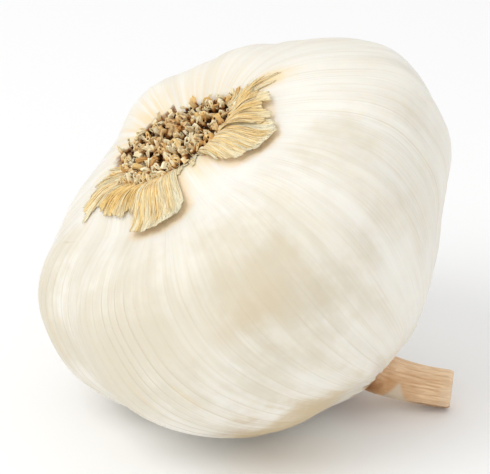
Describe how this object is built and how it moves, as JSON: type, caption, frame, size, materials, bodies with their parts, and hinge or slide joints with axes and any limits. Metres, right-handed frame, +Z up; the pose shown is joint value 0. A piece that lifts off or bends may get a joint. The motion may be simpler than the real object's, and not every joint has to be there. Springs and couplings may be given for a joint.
{
  "type": "garlic bulb",
  "caption": "Whole garlic bulb lying on its side on its cut stem, with ribbed papery skin, a round root plate of short root stubs and torn dry skins round it.",
  "frame": {"origin": "on the surface that the bulb lies on, below the middle of its bounding box", "axes": "+Z up from that surface; +X towards the cut stem; +Y across the bulb, away from the side whose torn skins hang lowest; the root plate faces up and towards -X"},
  "size_m": [0.0566, 0.0584, 0.0512],
  "materials": {
    "skin": "papery, with a soft sheen and fine ribs, off-white with faint tan stains",
    "plate": "rough, fibrous and dry, in tan and brown",
    "husk": "thin, dry and fibrous, straw coloured and paler at the torn edges",
    "stem": "dry, grooved lengthwise, tan"
  },
  "bodies": {
    "root": {"bulb": "skin", "stem": "stem", "torn_skins": "husk", "root_plate": "plate"}
  },
  "joints": []
}
